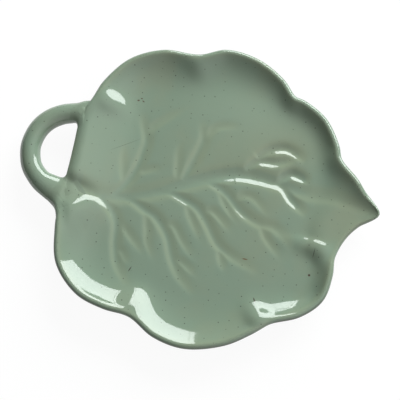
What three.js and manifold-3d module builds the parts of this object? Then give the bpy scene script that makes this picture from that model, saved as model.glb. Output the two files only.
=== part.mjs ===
// Leaf-shaped serving dish in glazed stoneware, whose stem loops round into a finger handle.
// Millimetres, +Z up. The dish stands on its foot ring and +X runs from the stem to the tip.
import * as THREE from 'three';
import { mergeVertices } from 'three/addons/utils/BufferGeometryUtils.js';
import Module from 'manifold-3d';

// The leaf: overall sizes, its wall and the rise of its rim
const LEAF_LENGTH = 201;
const LEAF_WIDTH = 195;
const RIM_HEIGHT = 18.7;
const LEAF_WALL = 5.5;
const COVE_RUN = 30;
const GENTLE_RUN = 46;

// The lobe within the handle's loop: a raised pillow that rolls over at its edge
const LOBE_RADIUS = 50;
const LOBE_RISE = 1.8;
const LOBE_ROLL = 2.5;
const LOBE_ROLL_RUN = 4.5;
const LOBE_ROLL_RADIUS = 30;

// The lower edge of the tip, where the wall slopes gently too
const TIP_RADIUS = 24;

// The stem's mouth: a dip in the rim, through which the stem's back runs down into the dish
const STEM_MOUTH_DROP = 4.8;
const STEM_MOUTH_LENGTH = 20;
const STEM_MOUTH_WIDTH = 9.2;
const STEM_BACK_CURVE = 16;
const STEM_BACK_BLEND = 4;
const STEM_CREST_HEIGHT = 1.6;
const STEM_CREST_WIDTH = 9;
const STEM_CREST_FROM_RIM = 6;

// The relief: grooves for the veins, and folds that run in from the notches between the lobes
const MIDRIB_DEPTH = 1.8;
const SIDE_VEIN_DEPTH = 1;
const DEEP_VEIN_DEPTH = 1.3;
const BRANCH_VEIN_DEPTH = 0.6;
const MIDRIB_WIDTH = 5;
const SIDE_VEIN_WIDTH = 3.4;
const BRANCH_VEIN_WIDTH = 2.8;
const FOLD_HEIGHT = 3.4;
const FOLD_WIDTH = 6.2;

// The stem handle: a rolled rod of clay bent into a loop, wide and flat where it meets the stem's mouth
const HANDLE_DIAMETER = 13.2;
const HANDLE_REACH = 26.7;
const HANDLE_BELOW_RIM = 6.3;
const HANDLE_TUCK_LENGTH = 32;
const HANDLE_TUCK_RISE = 4;
const STEM_WIDTH = 19.2;
const STEM_HEIGHT = 10;
const STEM_FLARE_LENGTH = 28;

// The luting coils: clay worked round each end of the handle
const COIL_LENGTH = 10;
const COIL_SPREAD = 3;
const COIL_EDGE = 0.7;

// The foot ring: an oval hoop luted under the floor, flat where it stands
const FOOT_HEIGHT = 5;
const FOOT_RING_LENGTH = 124;
const FOOT_RING_WIDTH = 104;
const FOOT_RING_BAND = 6.5;
const FOOT_FACE_BAND = 4;

// Slip joint left between neighbouring pieces
const JOINT_GAP = 0.3;

// How finely the surfaces are divided, and how a wall's slope is measured
const SPOKES = 124;
const TOP_RINGS = 28;
const TOP_START = 0.05;
const UNDERSIDE_RINGS = 9;
const UNDERSIDE_START = 0.3;
const RING_CROWDING = 0.9;
const LIP_STEPS = 4;
const CREASE_STEPS = 24;
const STEM_BACK_STEPS = 60;
const FENCE_STEPS = 6 * SPOKES;
const LENGTH_STEPS = 600;
const ROD_SIDES = 16;
const ROD_STEPS = 42;
const COIL_STEPS = 14;
const FOOT_STEPS = 48;
const SLOPE_STEP = 0.4;
const SLOPE_INSET = 1.2;
const WELD_DISTANCE = 1e-4;

// Shape of the leaf, as shares of its length from the base and of its half width from the axis.
// The rim runs anticlockwise from the tip: each lobe's crown points, then the notch after it.
const RIM_POINTS = [
  [1.0, -0.03],
  [0.957, 0.082], [0.93, 0.175], [0.878, 0.308],
  [0.863, 0.41], [0.818, 0.575], [0.752, 0.682], [0.716, 0.713],
  [0.672, 0.83], [0.59, 0.949], [0.49, 1.0], [0.398, 0.947],
  [0.281, 0.964], [0.177, 0.887], [0.1, 0.723], [0.075, 0.61],
  [0.042, 0.48], [0.034, 0.38], [0.03, 0.29], [0.019, 0.09], [0.008, -0.045], [0.002, -0.17],
  [0.0, -0.308], [0.015, -0.533], [0.085, -0.713], [0.169, -0.79], [0.254, -0.828],
  [0.333, -0.944], [0.428, -1.0], [0.547, -0.962], [0.624, -0.882], [0.677, -0.806],
  [0.776, -0.74], [0.841, -0.631], [0.866, -0.472], [0.871, -0.344],
  [0.903, -0.205], [0.948, -0.106],
];
const LEAF_MIDDLE = [0.48, -0.04];
const LOBE_MIDDLE = [0.03, 0.18];
const TIP_SLOPE = [0.92, -0.16];
const STEM_MOUTH = [0.0, -0.045];
const STEM_CREST = [
  [0.035, -0.18], [0.052, -0.15], [0.08, -0.124], [0.112, -0.124], [0.135, -0.14], [0.152, -0.18],
];

// The stem's back: the way inwards from its joint, to the side, and its top below the rim
const STEM_BACK = [
  [-1.5, 0.1, 1.35], [2.3, -0.7, 1.5], [4.5, -1.2, 1.75], [7.5, -1.9, 2.35], [11.5, -2.7, 3.45],
  [15.5, -3.3, 4.8], [19.5, -4.1, 6.2], [23.5, -5.4, 7.7], [34.5, -9.9, 13.7],
];

// Veins, each from the midrib outwards
const MIDRIB = [
  [0.045, 0.02], [0.07, -0.014], [0.1, -0.043], [0.144, -0.056], [0.197, -0.044], [0.283, -0.008],
  [0.369, 0.059], [0.454, 0.122], [0.498, 0.147], [0.55, 0.165], [0.603, 0.158], [0.684, 0.121],
  [0.746, 0.083], [0.797, 0.062], [0.864, 0.05], [0.98, -0.02],
];
const SIDE_VEINS = [
  [[0.128, -0.077], [0.166, -0.157], [0.182, -0.222], [0.186, -0.362], [0.197, -0.482], [0.228, -0.602]],
  [[0.182, -0.049], [0.218, -0.057], [0.273, -0.127], [0.303, -0.162], [0.345, -0.281],
   [0.366, -0.417], [0.39, -0.521], [0.431, -0.616]],
  [[0.298, -0.001], [0.338, 0.01], [0.402, -0.046], [0.433, -0.085], [0.47, -0.189],
   [0.504, -0.309], [0.546, -0.375], [0.62, -0.45]],
  [[0.399, 0.108], [0.434, 0.114], [0.488, 0.076], [0.522, 0.025], [0.576, -0.09], [0.637, -0.16],
   [0.672, -0.166], [0.727, -0.264], [0.746, -0.322]],
  [[0.167, -0.031], [0.196, 0.036], [0.23, 0.156], [0.247, 0.279], [0.253, 0.344], [0.233, 0.503]],
  [[0.384, 0.112], [0.411, 0.243], [0.434, 0.378], [0.434, 0.426], [0.43, 0.477]],
];
const DEEP_VEINS = [
  [[0.63, 0.146], [0.66, 0.135], [0.69, 0.113], [0.708, 0.075], [0.724, 0.026], [0.748, -0.021],
   [0.78, -0.08]],
  [[0.567, 0.18], [0.61, 0.262], [0.635, 0.268], [0.66, 0.265], [0.69, 0.275], [0.74, 0.305]],
  [[0.622, 0.31], [0.643, 0.341], [0.663, 0.36], [0.7, 0.364], [0.735, 0.332], [0.77, 0.29]],
  [[0.68, 0.125], [0.698, 0.168], [0.722, 0.194], [0.75, 0.177], [0.785, 0.14]],
];
const BRANCH_VEINS = [
  [[0.186, -0.203], [0.224, -0.283], [0.278, -0.408]],
  [[0.188, -0.374], [0.207, -0.407], [0.233, -0.488]],
  [[0.273, -0.127], [0.282, -0.236], [0.288, -0.339], [0.314, -0.438]],
  [[0.331, -0.228], [0.359, -0.208], [0.392, -0.297], [0.435, -0.412]],
  [[0.368, -0.429], [0.395, -0.442], [0.445, -0.518]],
  [[0.402, -0.046], [0.409, -0.116], [0.45, -0.282]],
  [[0.449, -0.122], [0.477, -0.093], [0.543, -0.211]],
  [[0.514, -0.332], [0.521, -0.421], [0.535, -0.479]],
  [[0.548, -0.03], [0.572, 0.024], [0.602, 0.02], [0.655, -0.086]],
  [[0.638, -0.163], [0.654, -0.24], [0.704, -0.365]],
  [[0.502, 0.036], [0.519, -0.036], [0.555, -0.141]],
  [[0.253, 0.344], [0.263, 0.43], [0.316, 0.523], [0.369, 0.594]],
  [[0.196, 0.036], [0.186, 0.123], [0.182, 0.249], [0.188, 0.308]],
  [[0.224, 0.129], [0.281, 0.161], [0.31, 0.175]],
  [[0.36, 0.058], [0.361, 0.184], [0.361, 0.311], [0.373, 0.365]],
  [[0.434, 0.378], [0.471, 0.474], [0.55, 0.502]],
];

// Folds, each from its notch in the rim inwards
const FOLDS = [
  [[0.07, 0.62], [0.14, 0.57], [0.21, 0.51]],
  [[0.39, 0.95], [0.41, 0.8], [0.42, 0.68]],
  [[0.72, 0.71], [0.7, 0.62], [0.68, 0.55]],
  [[0.88, 0.31], [0.84, 0.28], [0.79, 0.24]],
  [[0.885, -0.315], [0.84, -0.283], [0.8, -0.266], [0.74, -0.245]],
  [[0.67, -0.81], [0.63, -0.67], [0.6, -0.53]],
  [[0.26, -0.83], [0.25, -0.75], [0.24, -0.67]],
];

// Strengths of the creases at even steps along their routes
const MIDRIB_STRENGTHS = [0.25, 0.45, 0.5, 0.55, 0.7, 0.95, 1, 1, 0.7, 0.45, 0.15];
const VEIN_STRENGTHS = [0.7, 1, 1, 0.85, 0.15];
const FOLD_STRENGTHS = [1, 0];
const STEM_CREST_STRENGTHS = [1, 0.4];

// The handle's loop, as shares of its reach beyond the leaf and of the way between its two joints
const UPPER_JOINT = [0.02, 0.516];
const LOWER_JOINT = [-0.004, -0.054];
const HANDLE_LOOP = [
  [0, 0], [0.2, 0.017], [0.4, 0.04], [0.64, 0.1], [0.82, 0.185], [0.935, 0.29], [1, 0.45],
  [0.965, 0.58], [0.88, 0.7], [0.75, 0.79], [0.56, 0.88], [0.35, 0.935], [0.18, 0.972], [0, 1],
];

// Curvature of the cove and of the gentle slope, and how softly the distance rounds off at the rim
const COVE_POWER = 2.7;
const GENTLE_POWER = 1.5;
const RIM_SOFTNESS = 1.5;

// How sharply the gentle slopes, the lobe's rolled edge and the stem's mouth end
const SLOPE_SHARPNESS = 4;
const ROLL_SHARPNESS = 6;
const MOUTH_SHARPNESS = 4;

const glaze = new THREE.MeshStandardMaterial({ color: 0x879885, roughness: 0.16, metalness: 0 });
const handleGlaze = new THREE.MeshStandardMaterial({ color: 0x8a9b88, roughness: 0.16, metalness: 0 });
const coilGlaze = new THREE.MeshStandardMaterial({ color: 0x849582, roughness: 0.18, metalness: 0 });
const bareClay = new THREE.MeshStandardMaterial({ color: 0xb5a58c, roughness: 0.85, metalness: 0 });

const wasm = await Module();
wasm.setup();

// Real place of a point of the leaf, with the origin at the leaf's middle
function onLeaf([along, across]) {
  return new THREE.Vector3((along - 0.5) * LEAF_LENGTH, (across * LEAF_WIDTH) / 2, 0);
}

// The centre line of the rim's rounded lip stands half a wall inside the leaf's outline
function onRim([along, across]) {
  const length = LEAF_LENGTH - LEAF_WALL;
  const width = LEAF_WIDTH - LEAF_WALL;
  return new THREE.Vector3((along - 0.5) * length, (across * width) / 2, 0);
}

function smoothLine(points, count, closed = false) {
  const curve = new THREE.CatmullRomCurve3(points, closed, 'centripetal');
  curve.arcLengthDivisions = LENGTH_STEPS;
  return curve.getSpacedPoints(count);
}

const rimLine = smoothLine(RIM_POINTS.map(onRim), SPOKES, true).slice(0, SPOKES);
const rimFence = smoothLine(RIM_POINTS.map(onRim), FENCE_STEPS, true);
const rimFenceStep = rimFence[0].distanceTo(rimFence[1]);
const middle = onLeaf(LEAF_MIDDLE);

// Distance from the rim, blended over its whole length so that lobes and notches run smoothly together
function distanceFromRim(x, y) {
  let sum = 0;
  for (let i = 1; i < rimFence.length; i += 1) {
    const square = (x - rimFence[i].x) ** 2 + (y - rimFence[i].y) ** 2 + RIM_SOFTNESS ** 2;
    sum += rimFenceStep / square ** 2;
  }
  const softSquare = (Math.PI / 2 / sum) ** (2 / 3);
  return Math.sqrt(Math.max(0, softSquare - RIM_SOFTNESS ** 2));
}

// A crease follows a route: it has a strength all along it, and fades over its width to each side
function crease(route, size, width, strengths) {
  const line = smoothLine(route.map(onLeaf), CREASE_STEPS);
  return { line, size, width, strengths };
}

function strengthAlong(strengths, gone) {
  const place = gone * (strengths.length - 1);
  const before = Math.min(Math.floor(place), strengths.length - 2);
  return THREE.MathUtils.lerp(strengths[before], strengths[before + 1], place - before);
}

function creaseAt({ line, size, width, strengths }, x, y) {
  let best = 0;
  for (let i = 1; i < line.length; i += 1) {
    const a = line[i - 1];
    const run = { x: line[i].x - a.x, y: line[i].y - a.y };
    const share = ((x - a.x) * run.x + (y - a.y) * run.y) / (run.x ** 2 + run.y ** 2);
    const t = THREE.MathUtils.clamp(share, 0, 1);
    const away = Math.hypot(x - a.x - t * run.x, y - a.y - t * run.y);
    const strength = strengthAlong(strengths, (i - 1 + t) / (line.length - 1));
    best = Math.max(best, strength * Math.exp(-((away / width) ** 2)));
  }
  return size * best;
}

const folds = FOLDS.map((route) => crease(route, FOLD_HEIGHT, FOLD_WIDTH, FOLD_STRENGTHS));
const stemCrest = crease(STEM_CREST, STEM_CREST_HEIGHT, STEM_CREST_WIDTH, STEM_CREST_STRENGTHS);
const veins = [crease(MIDRIB, MIDRIB_DEPTH, MIDRIB_WIDTH, MIDRIB_STRENGTHS)];
for (const [routes, depth, width] of [
  [SIDE_VEINS, SIDE_VEIN_DEPTH, SIDE_VEIN_WIDTH],
  [DEEP_VEINS, DEEP_VEIN_DEPTH, SIDE_VEIN_WIDTH],
  [BRANCH_VEINS, BRANCH_VEIN_DEPTH, BRANCH_VEIN_WIDTH],
]) {
  veins.push(...routes.map((route) => crease(route, depth, width, VEIN_STRENGTHS)));
}

const lobeMiddle = onLeaf(LOBE_MIDDLE);
const tipSlope = onLeaf(TIP_SLOPE);
const stemMouth = onLeaf(STEM_MOUTH);
const lowerJoint = onRim(LOWER_JOINT);
const stemBackPoints = STEM_BACK.map(([inwards, aside, below]) =>
  new THREE.Vector3(lowerJoint.x + inwards, lowerJoint.y + aside, RIM_HEIGHT - below));
const stemBack = new THREE.CatmullRomCurve3(stemBackPoints).getPoints(STEM_BACK_STEPS);

// Near a spot: 1 within the radius, falling off round it
function nearness(spot, radius, x, y, sharpness) {
  return Math.exp(-((Math.hypot(x - spot.x, y - spot.y) / radius) ** sharpness));
}

// The higher of two heights, with the corner between them filled
function softMax(a, b, size) {
  const fill = Math.max(0, 1 - Math.abs(a - b) / size);
  return Math.max(a, b) + (fill ** 2 * size) / 4;
}

// Height of the middle of the clay under the stem's back, which falls away to each side
function stemBackHeight(x, y) {
  const after = Math.max(1, stemBack.findIndex((point) => point.x > x));
  const [a, b] = [stemBack[after - 1], stemBack[after]];
  const spot = a.clone().lerp(b, (x - a.x) / (b.x - a.x));
  return spot.z - LEAF_WALL / 2 - (y - spot.y) ** 2 / (2 * STEM_BACK_CURVE);
}

// Height of the middle of the clay wall: a flat floor, a cove up to the rim, the folds and the stem
function wallHeight(x, y) {
  const floor = FOOT_HEIGHT + LEAF_WALL / 2;
  const rise = RIM_HEIGHT - LEAF_WALL / 2 - floor;
  const lobe = nearness(lobeMiddle, LOBE_RADIUS, x, y, SLOPE_SHARPNESS);
  const gentle = Math.max(lobe, nearness(tipSlope, TIP_RADIUS, x, y, SLOPE_SHARPNESS));
  const run = THREE.MathUtils.lerp(COVE_RUN, GENTLE_RUN, gentle);
  const power = THREE.MathUtils.lerp(COVE_POWER, GENTLE_POWER, gentle);
  const distance = distanceFromRim(x, y);
  const cove = Math.max(0, 1 - distance / run) ** power;
  const fold = Math.max(...folds.map((each) => creaseAt(each, x, y)));
  const crest = creaseAt(stemCrest, x, y) * (1 - Math.exp(-((distance / STEM_CREST_FROM_RIM) ** 2)));
  const rollOver = Math.max(0, 1 - distance / LOBE_ROLL_RUN) ** 2;
  const roll = LOBE_ROLL * rollOver * nearness(lobeMiddle, LOBE_ROLL_RADIUS, x, y, ROLL_SHARPNESS);
  const mouthX = (x - stemMouth.x) / STEM_MOUTH_LENGTH;
  const mouthY = (y - stemMouth.y) / STEM_MOUTH_WIDTH;
  const drop = STEM_MOUTH_DROP * cove * Math.exp(-(Math.hypot(mouthX, mouthY) ** MOUTH_SHARPNESS));
  const foldRoom = 4 * cove * (1 - cove);
  const wall = floor + (rise + LOBE_RISE * lobe) * cove - drop - roll + fold * foldRoom + crest;
  if (x > stemBack[stemBack.length - 1].x) return wall;
  return softMax(wall, stemBackHeight(x, y), STEM_BACK_BLEND);
}

function veinDepth(x, y) {
  let depth = 0;
  for (const each of veins) depth = Math.max(depth, creaseAt(each, x, y));
  return depth;
}

// Upward normal of the wall, taken just inside the rim where the point is on the rim itself
function wallNormal(point) {
  const inwards = middle.clone().sub(point).setZ(0).setLength(SLOPE_INSET);
  const x = point.x + inwards.x;
  const y = point.y + inwards.y;
  const slopeX = (wallHeight(x + SLOPE_STEP, y) - wallHeight(x - SLOPE_STEP, y)) / (2 * SLOPE_STEP);
  const slopeY = (wallHeight(x, y + SLOPE_STEP) - wallHeight(x, y - SLOPE_STEP)) / (2 * SLOPE_STEP);
  return new THREE.Vector3(-slopeX, -slopeY, 1).normalize();
}

// A ring of points on the wall, a given share of the way from the middle to the rim
function wallRing(share) {
  return rimLine.map((edge) => {
    const point = new THREE.Vector3().lerpVectors(middle, edge, share);
    point.z = wallHeight(point.x, point.y);
    return { point, normal: wallNormal(point) };
  });
}

function offsetRing(ring, distanceAt) {
  return ring.map(({ point, normal }) => point.clone().addScaledVector(normal, distanceAt(point)));
}

// The rounded lip: half circles about the rim line, from the upper face over to the underside
function lipRings(edgeRing, radius) {
  const rings = [];
  for (let k = 1; k <= LIP_STEPS; k += 1) {
    const angle = Math.PI / 2 - (Math.PI * k) / (LIP_STEPS + 1);
    rings.push(edgeRing.map(({ point, normal }, i) => {
      const before = edgeRing[(i + SPOKES - 1) % SPOKES].point;
      const after = edgeRing[(i + 1) % SPOKES].point;
      const along = after.clone().sub(before);
      const outwards = along.cross(normal).normalize();
      return point.clone()
        .addScaledVector(outwards, radius * Math.cos(angle))
        .addScaledVector(normal, radius * Math.sin(angle));
    }));
  }
  return rings;
}

// One closed skin over rings of equal count, with a point closing each end
function skinOverRings(startPoint, rings, endPoint) {
  const count = rings[0].length;
  const points = [startPoint, ...rings.flat(), endPoint];
  const faces = [];
  for (let i = 0; i < count; i += 1) {
    const next = (i + 1) % count;
    faces.push(0, 1 + i, 1 + next);
    for (let k = 0; k + 1 < rings.length; k += 1) {
      const near = 1 + k * count;
      const far = near + count;
      faces.push(near + i, far + i, far + next, near + i, far + next, near + next);
    }
    const last = 1 + (rings.length - 1) * count;
    faces.push(last + i, points.length - 1, last + next);
  }
  const geometry = new THREE.BufferGeometry().setFromPoints(points);
  geometry.setIndex(faces);
  return geometry;
}

function shares(count, closest) {
  return Array.from({ length: count }, (_, k) =>
    closest + (1 - closest) * (k / (count - 1)) ** RING_CROWDING);
}

const undersideRings = shares(UNDERSIDE_RINGS, UNDERSIDE_START).map(wallRing);
const edgeRing = wallRing(1);

// The leaf: upper face with its veins, lip, and a plain underside
function leafBody() {
  const half = LEAF_WALL / 2;
  const topRings = shares(TOP_RINGS, TOP_START).map((share) =>
    offsetRing(wallRing(share), (point) => half - veinDepth(point.x, point.y)));
  const middleHeight = wallHeight(middle.x, middle.y);
  const topCentre = middle.clone().setZ(middleHeight + half - veinDepth(middle.x, middle.y));
  const lowCentre = middle.clone().setZ(middleHeight - half);
  const lowRings = undersideRings.map((ring) => offsetRing(ring, () => -half)).reverse();
  return skinOverRings(topCentre, [...topRings, ...lipRings(edgeRing, half), ...lowRings], lowCentre);
}

// The room that the leaf takes, with the joint gap below it and the whole of the dish above it
function leafRoom() {
  const half = LEAF_WALL / 2 + JOINT_GAP;
  const ceiling = 2 * RIM_HEIGHT;
  const capRing = edgeRing.map(({ point }) => point.clone().setZ(ceiling));
  const lowRings = undersideRings.map((ring) => offsetRing(ring, () => -half)).reverse();
  const lowCentre = middle.clone().setZ(wallHeight(middle.x, middle.y) - half);
  const rings = [capRing, ...lipRings(edgeRing, half), ...lowRings];
  return skinOverRings(middle.clone().setZ(ceiling), rings, lowCentre);
}

// The handle's centre line, tucked in and slightly up under the rim at both ends
function handleLine() {
  const height = new THREE.Vector3(0, 0, RIM_HEIGHT - HANDLE_BELOW_RIM);
  const upper = onRim(UPPER_JOINT).add(height);
  const lower = onRim(LOWER_JOINT).add(height);
  const loop = HANDLE_LOOP.map(([out, way]) =>
    new THREE.Vector3().lerpVectors(upper, lower, way).add(new THREE.Vector3(-HANDLE_REACH * out, 0, 0)));
  const tuck = new THREE.Vector3(HANDLE_TUCK_LENGTH, 0, HANDLE_TUCK_RISE);
  const points = [upper.clone().add(tuck), ...loop, lower.clone().add(tuck)];
  const curve = new THREE.CatmullRomCurve3(points, false, 'centripetal');
  curve.arcLengthDivisions = LENGTH_STEPS;
  return curve;
}

const handleCurve = handleLine();
const handleLength = handleCurve.getLength();

// Half sizes of the rod at a share of its line: round, then ever wider and flatter towards the stem
function rodSection(share) {
  const beforeStem = (1 - share) * handleLength - HANDLE_TUCK_LENGTH;
  const flare = THREE.MathUtils.clamp(1 - beforeStem / STEM_FLARE_LENGTH, 0, 1) ** 2;
  const width = THREE.MathUtils.lerp(HANDLE_DIAMETER, STEM_WIDTH, flare);
  const height = THREE.MathUtils.lerp(HANDLE_DIAMETER, STEM_HEIGHT, flare);
  return { halfWidth: width / 2, halfHeight: height / 2 };
}

// A length of the rod, made larger all round, and more or less so on its upper side
function rodBetween(from, to, steps, largerAt, largerAboveAt = largerAt) {
  const rings = [];
  for (let k = 0; k <= steps; k += 1) {
    const share = THREE.MathUtils.lerp(from, to, k / steps);
    const centre = handleCurve.getPointAt(share);
    const along = handleCurve.getTangentAt(share);
    const side = new THREE.Vector3(along.y, -along.x, 0).normalize();
    const { halfWidth, halfHeight } = rodSection(share);
    const ring = [];
    for (let i = 0; i < ROD_SIDES; i += 1) {
      const angle = (2 * Math.PI * i) / ROD_SIDES;
      const larger = angle < Math.PI ? largerAboveAt(share) : largerAt(share);
      ring.push(centre.clone()
        .addScaledVector(side, (halfWidth + largerAt(share)) * Math.cos(angle))
        .add(new THREE.Vector3(0, 0, (halfHeight + larger) * Math.sin(angle))));
    }
    rings.push(ring);
  }
  return skinOverRings(handleCurve.getPointAt(from), rings, handleCurve.getPointAt(to));
}

// Solids for joining and cutting
function solid(geometry) {
  geometry.deleteAttribute('normal');
  geometry.deleteAttribute('uv');
  const merged = mergeVertices(geometry, WELD_DISTANCE);
  return new wasm.Manifold(new wasm.Mesh({
    numProp: 3,
    vertProperties: new Float32Array(merged.attributes.position.array),
    triVerts: new Uint32Array(merged.index.array),
  }));
}

function mesh(name, body, material) {
  const { vertProperties, triVerts } = body.getMesh();
  const geometry = new THREE.BufferGeometry();
  geometry.setAttribute('position', new THREE.BufferAttribute(vertProperties, 3));
  geometry.setIndex(new THREE.BufferAttribute(triVerts, 1));
  geometry.computeVertexNormals();
  const part = new THREE.Mesh(geometry, material);
  part.name = name;
  return part;
}

const room = solid(leafRoom());

// The handle: the rod, scarfed to the leaf's outer face at both ends
function stemHandle() {
  return solid(rodBetween(0, 1, ROD_STEPS, () => 0)).subtract(room);
}

// A luting coil: a collar of clay round the rod, thickest at the joint, where it spreads on to the leaf
function lutingCoil(end) {
  const joint = Math.abs(end - HANDLE_TUCK_LENGTH / handleLength);
  const reach = COIL_LENGTH / handleLength;
  const outer = joint + (end === 0 ? reach : -reach);
  const edge = JOINT_GAP + COIL_EDGE;
  const largerAt = (share) =>
    edge + COIL_SPREAD * Math.max(0, 1 - Math.abs(share - joint) / reach) ** 2;
  const [from, to] = [end, outer].sort((a, b) => a - b);
  const collar = solid(rodBetween(from, to, COIL_STEPS, largerAt, () => edge));
  const bore = solid(rodBetween(0, 1, ROD_STEPS, () => JOINT_GAP));
  return collar.subtract(bore).subtract(room);
}

// The foot ring: an oval hoop with drafted sides, cut to the leaf's underside
function footRing() {
  const height = (FOOT_HEIGHT + RIM_HEIGHT) / 2;
  const draft = (FOOT_RING_BAND - FOOT_FACE_BAND) / 2;
  const oval = (inset, z) => Array.from({ length: FOOT_STEPS }, (_, i) => {
    const angle = (2 * Math.PI * i) / FOOT_STEPS;
    const x = (FOOT_RING_LENGTH / 2 - inset) * Math.cos(angle);
    const y = (FOOT_RING_WIDTH / 2 - inset) * Math.sin(angle);
    return new THREE.Vector3(middle.x + x, middle.y + y, z);
  });
  const at = (z) => new THREE.Vector3(middle.x, middle.y, z);
  const outside = [oval(0, height), oval(0, FOOT_HEIGHT), oval(draft, 0)];
  const inside = [
    oval(FOOT_RING_BAND, 2 * height),
    oval(FOOT_RING_BAND, FOOT_HEIGHT),
    oval(draft + FOOT_FACE_BAND, 0),
    oval(draft + FOOT_FACE_BAND, -height),
  ];
  const disc = solid(skinOverRings(at(height), outside, at(0)));
  const hollow = solid(skinOverRings(at(2 * height), inside, at(-height)));
  return disc.subtract(hollow).subtract(room);
}

const dish = new THREE.Group();
dish.add(mesh('leaf_body', solid(leafBody()), glaze));
dish.add(mesh('stem_handle', stemHandle(), handleGlaze));
dish.add(mesh('upper_luting_coil', lutingCoil(0), coilGlaze));
dish.add(mesh('lower_luting_coil', lutingCoil(1), coilGlaze));
dish.add(mesh('foot_ring', footRing(), bareClay));

// The origin is under the middle of the dish's outline, on the table
const outline = new THREE.Box3().setFromObject(dish);
const centre = outline.getCenter(new THREE.Vector3());
dish.position.set(-centre.x, -centre.y, 0);

export default dish;
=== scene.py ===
import math

import bpy
import numpy as np
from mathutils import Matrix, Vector
from mathutils.bvhtree import BVHTree


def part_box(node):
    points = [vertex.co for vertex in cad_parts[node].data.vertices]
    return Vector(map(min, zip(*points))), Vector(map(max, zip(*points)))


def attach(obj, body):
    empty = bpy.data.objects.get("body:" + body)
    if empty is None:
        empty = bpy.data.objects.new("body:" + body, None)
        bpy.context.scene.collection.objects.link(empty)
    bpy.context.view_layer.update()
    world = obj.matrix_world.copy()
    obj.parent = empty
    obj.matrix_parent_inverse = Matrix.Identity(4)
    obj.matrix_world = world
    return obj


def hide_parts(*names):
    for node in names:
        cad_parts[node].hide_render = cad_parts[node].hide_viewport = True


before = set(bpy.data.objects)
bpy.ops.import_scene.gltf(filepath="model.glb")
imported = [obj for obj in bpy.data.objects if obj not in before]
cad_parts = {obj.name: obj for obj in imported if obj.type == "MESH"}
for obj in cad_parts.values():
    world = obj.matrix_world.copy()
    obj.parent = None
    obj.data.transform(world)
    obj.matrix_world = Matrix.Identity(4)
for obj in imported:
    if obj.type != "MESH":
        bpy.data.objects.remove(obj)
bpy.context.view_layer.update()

bpy.ops.object.select_all(action="DESELECT")
scene = bpy.context.scene
scene.view_settings.view_transform = "Standard"

# The camera stands almost over the dish, a little to the front, as a hand-held
# still-life shot does. Its height and lens give the photograph's framing.
view_target = Vector((0.00265, -0.0045, 0.019))
view_distance = 0.600
view_azimuth = math.radians(4.65)
view_elevation = math.radians(76)
view_back = Vector((
    math.sin(view_azimuth) * math.cos(view_elevation),
    -math.cos(view_azimuth) * math.cos(view_elevation),
    math.sin(view_elevation),
))
bpy.ops.object.camera_add(location=view_target + view_distance * view_back)
camera = bpy.context.object
camera.rotation_euler = view_back.to_track_quat("Z", "Y").to_euler()
camera.data.sensor_width = 36
camera.data.lens = 86.4
camera.data.clip_start = 0.01
scene.camera = camera

# The leaf: one shell of stoneware, pressed over a mould and trimmed to a lobed rim.
# A ball of clay, here a sphere, is drawn out ring by ring: its upper rings become the dish's face
# with coved walls, folds and sunken veins, the next ones the rounded lip, the rest the underside.
leaf_low, leaf_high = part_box("leaf_body")
leaf_length = leaf_high.x - leaf_low.x
leaf_width = leaf_high.y - leaf_low.y
leaf_middle_x = (leaf_high.x + leaf_low.x) / 2
clay_wall = 0.0055
floor_height = leaf_low.z + clay_wall / 2

# The lip: half its thickness, how the wall thins to it from below, and how much thinner the tip is
half_lip = 0.0023
thinning_run = 0.014
thinning_power = 0.7
tip_thinning = 0.55
tip_thinning_reach = 0.009

# The wall: a cove that rises to the rim over its run, and the run and power where it is gentle
rim_rise = 0.0082
cove_run = 0.030
cove_power = 2.7
gentle_run = 0.046
gentle_power = 1.5

# Rim points, as shares of the leaf's length from its base and of its half width from its axis,
# anticlockwise from the tip, lobe by lobe with the notch that ends each lobe
rim_points = [
    (1.0145, -0.032),
    (0.961, 0.094), (0.932, 0.18), (0.879, 0.309),
    (0.867, 0.412), (0.824, 0.584), (0.756, 0.694), (0.72, 0.724),
    (0.678, 0.838), (0.594, 0.962), (0.49, 1.014), (0.398, 0.961),
    (0.281, 0.977), (0.175, 0.896), (0.1, 0.725), (0.075, 0.61),
    (0.042, 0.48), (0.034, 0.38), (0.03, 0.29), (0.019, 0.09),
    (0.008, -0.045), (0.002, -0.17), (0.0, -0.308), (0.015, -0.533), (0.085, -0.713),
    (0.169, -0.79), (0.254, -0.828),
    (0.333, -0.944), (0.428, -1.0), (0.547, -0.962), (0.624, -0.882), (0.677, -0.806),
    (0.776, -0.74), (0.841, -0.631), (0.866, -0.472), (0.871, -0.344),
    (0.903, -0.205), (0.948, -0.106),
]
# The place that the rings are drawn out from, and how softly the rim's lobes and notches are blended
leaf_middle = (0.48, -0.04)
rim_softness = 0.0015

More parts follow.
